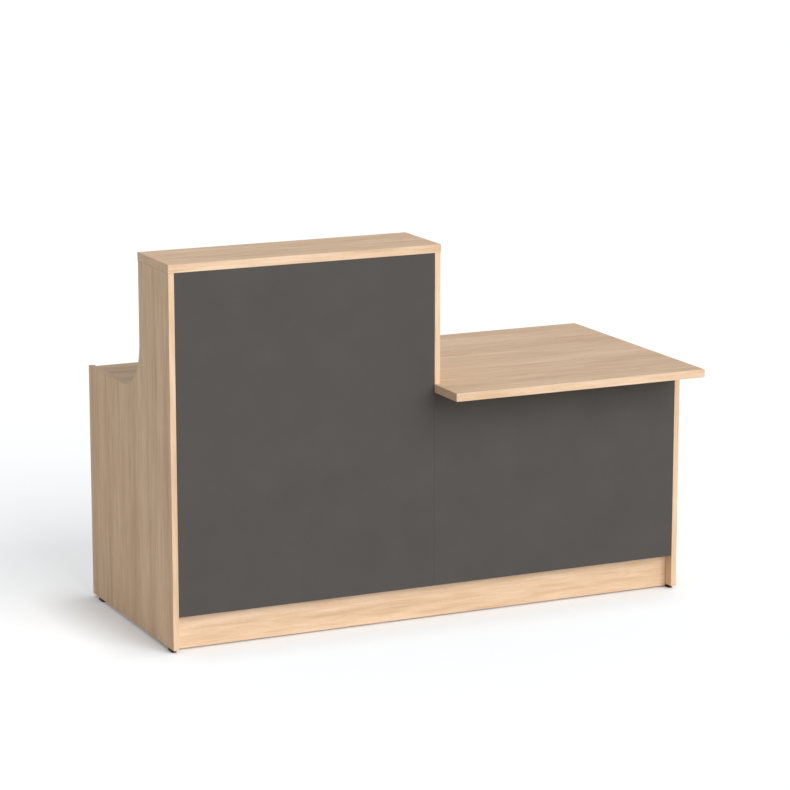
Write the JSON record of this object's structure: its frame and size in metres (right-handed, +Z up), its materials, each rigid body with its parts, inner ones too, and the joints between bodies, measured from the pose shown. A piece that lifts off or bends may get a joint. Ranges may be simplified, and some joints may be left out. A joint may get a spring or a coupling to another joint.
{
  "type": "reception desk",
  "caption": "Free-standing reception desk in oak and anthracite board: a raised visitor counter beside a lower overhanging worktop, with screw-adjusted feet and a cable outlet.",
  "frame": {"origin": "on the floor, under the middle of the overall width and depth", "axes": "+X to the visitor's right along the width, +Y from the visitor's side to the staff's side, +Z up"},
  "size_m": [1.7, 0.85, 1.162],
  "materials": {
    "oak": "light oak decor, matt",
    "anthracite": "plain melamine, matt",
    "black_plastic": "fine grained",
    "steel": "zinc-plated",
    "zinc": "die-cast, dull"
  },
  "bodies": {
    "desk": {"left_end_panel": "oak", "right_end_panel": "oak", "centre_support": "oak", "tower_side_panel": "oak", "counter_top": "oak", "left_worktop": "oak", "right_worktop": "oak", "plinth": "oak", "tall_front_panel": "anthracite", "low_front_panel": "anthracite", "foot_sleeve_left_front": "zinc", "foot_sleeve_left_rear": "zinc", "foot_sleeve_centre_front": "zinc", "foot_sleeve_centre_rear": "zinc", "foot_sleeve_right_front": "zinc", "foot_sleeve_right_rear": "zinc", "cam_tall_front_left_low": "zinc", "bolt_tall_front_left_low": "steel", "cam_tall_front_left_high": "zinc", "bolt_tall_front_left_high": "steel", "cam_tall_front_right": "zinc", "bolt_tall_front_right": "steel", "cam_counter_left": "zinc", "bolt_counter_left": "steel", "cam_counter_right": "zinc", "bolt_counter_right": "steel", "cam_tower_side": "zinc", "bolt_tower_side": "steel", "cam_low_front_low": "zinc", "bolt_low_front_low": "steel", "cam_low_front_high": "zinc", "bolt_low_front_high": "steel", "cam_right_worktop_front": "zinc", "bolt_right_worktop_front": "steel", "cam_right_worktop_rear": "zinc", "bolt_right_worktop_rear": "steel", "cam_left_worktop_front": "zinc", "bolt_left_worktop_front": "steel", "cam_left_worktop_rear": "zinc", "bolt_left_worktop_rear": "steel", "cam_plinth_left": "zinc", "bolt_plinth_left": "steel", "cam_plinth_right": "zinc", "bolt_plinth_right": "steel", "bracket_left": "zinc", "bracket_right": "zinc", "outlet_liner": "black_plastic"},
    "foot_left_front": {"foot_pad_left_front": "black_plastic"},
    "stud_left_front": {"foot_stud_left_front": "steel"},
    "foot_left_rear": {"foot_pad_left_rear": "black_plastic"},
    "stud_left_rear": {"foot_stud_left_rear": "steel"},
    "foot_centre_front": {"foot_pad_centre_front": "black_plastic"},
    "stud_centre_front": {"foot_stud_centre_front": "steel"},
    "foot_centre_rear": {"foot_pad_centre_rear": "black_plastic"},
    "stud_centre_rear": {"foot_stud_centre_rear": "steel"},
    "foot_right_front": {"foot_pad_right_front": "black_plastic"},
    "stud_right_front": {"foot_stud_right_front": "steel"},
    "foot_right_rear": {"foot_pad_right_rear": "black_plastic"},
    "stud_right_rear": {"foot_stud_right_rear": "steel"},
    "outlet_cap": {"outlet_cap": "black_plastic"}
  },
  "joints": [
    {"name": "foot_left_front_extend", "type": "slide", "parent": "desk", "child": "foot_left_front", "axis": [0, 0, -1], "range_m": [0, 0.015]},
    {"name": "stud_left_front_turn", "type": "hinge", "parent": "foot_left_front", "child": "stud_left_front", "pos_m": [-0.841, -0.239, 0], "axis": [0, 0, -1], "continuous": true},
    {"name": "foot_left_rear_extend", "type": "slide", "parent": "desk", "child": "foot_left_rear", "axis": [0, 0, -1], "range_m": [0, 0.015]},
    {"name": "stud_left_rear_turn", "type": "hinge", "parent": "foot_left_rear", "child": "stud_left_rear", "pos_m": [-0.841, 0.363, 0], "axis": [0, 0, -1], "continuous": true},
    {"name": "foot_centre_front_extend", "type": "slide", "parent": "desk", "child": "foot_centre_front", "axis": [0, 0, -1], "range_m": [0, 0.015]},
    {"name": "stud_centre_front_turn", "type": "hinge", "parent": "foot_centre_front", "child": "stud_centre_front", "pos_m": [0, -0.1867, 0], "axis": [0, 0, -1], "continuous": true},
    {"name": "foot_centre_rear_extend", "type": "slide", "parent": "desk", "child": "foot_centre_rear", "axis": [0, 0, -1], "range_m": [0, 0.015]},
    {"name": "stud_centre_rear_turn", "type": "hinge", "parent": "foot_centre_rear", "child": "stud_centre_rear", "pos_m": [0, 0.357, 0], "axis": [0, 0, -1], "continuous": true},
    {"name": "foot_right_front_extend", "type": "slide", "parent": "desk", "child": "foot_right_front", "axis": [0, 0, -1], "range_m": [0, 0.015]},
    {"name": "stud_right_front_turn", "type": "hinge", "parent": "foot_right_front", "child": "stud_right_front", "pos_m": [0.841, -0.239, 0], "axis": [0, 0, -1], "continuous": true},
    {"name": "foot_right_rear_extend", "type": "slide", "parent": "desk", "child": "foot_right_rear", "axis": [0, 0, -1], "range_m": [0, 0.015]},
    {"name": "stud_right_rear_turn", "type": "hinge", "parent": "foot_right_rear", "child": "stud_right_rear", "pos_m": [0.841, 0.363, 0], "axis": [0, 0, -1], "continuous": true},
    {"name": "outlet_cap_lift", "type": "slide", "parent": "desk", "child": "outlet_cap", "axis": [0, 0, 1], "range_m": [0, 0.06]}
  ],
  "couplings": [
    {"joint": "stud_left_front_turn", "follows": "foot_left_front_extend", "rad_per_m": 5026.5},
    {"joint": "stud_left_rear_turn", "follows": "foot_left_rear_extend", "rad_per_m": 5026.5},
    {"joint": "stud_centre_front_turn", "follows": "foot_centre_front_extend", "rad_per_m": 5026.5},
    {"joint": "stud_centre_rear_turn", "follows": "foot_centre_rear_extend", "rad_per_m": 5026.5},
    {"joint": "stud_right_front_turn", "follows": "foot_right_front_extend", "rad_per_m": 5026.5},
    {"joint": "stud_right_rear_turn", "follows": "foot_right_rear_extend", "rad_per_m": 5026.5}
  ]
}
